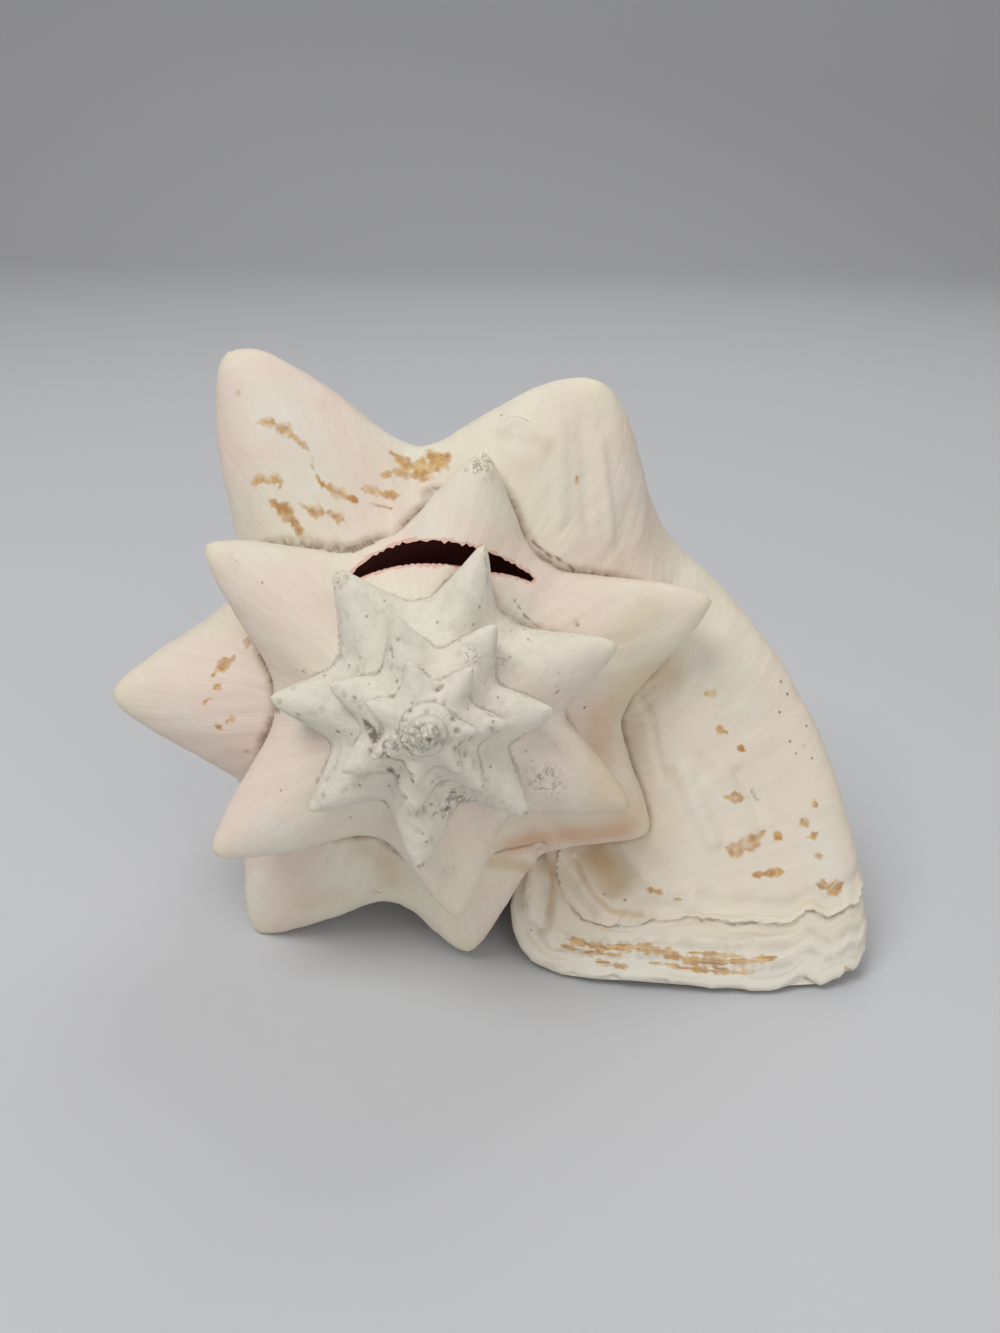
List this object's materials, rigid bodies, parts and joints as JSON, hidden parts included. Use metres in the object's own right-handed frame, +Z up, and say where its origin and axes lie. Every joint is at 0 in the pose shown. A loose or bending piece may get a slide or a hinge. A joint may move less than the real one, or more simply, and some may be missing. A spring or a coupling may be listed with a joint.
{
  "type": "conch shell",
  "caption": "Spiny conch shell lying on its opening, with a stepped spire, a wide flared lip and a curved cut in the ramp of the second whorl.",
  "frame": {"origin": "middle of the footprint of the bounding box, on the surface the shell lies on", "axes": "+Z up; the spire points towards -Y and the siphon end towards +Y; the flared lip is on +X; millimetre-true at 1.0"},
  "size_m": [0.1856, 0.2188, 0.1401],
  "materials": {
    "shell": "chalky, weathered, matte"
  },
  "bodies": {
    "root": {"conch_shell": "shell"}
  },
  "joints": []
}
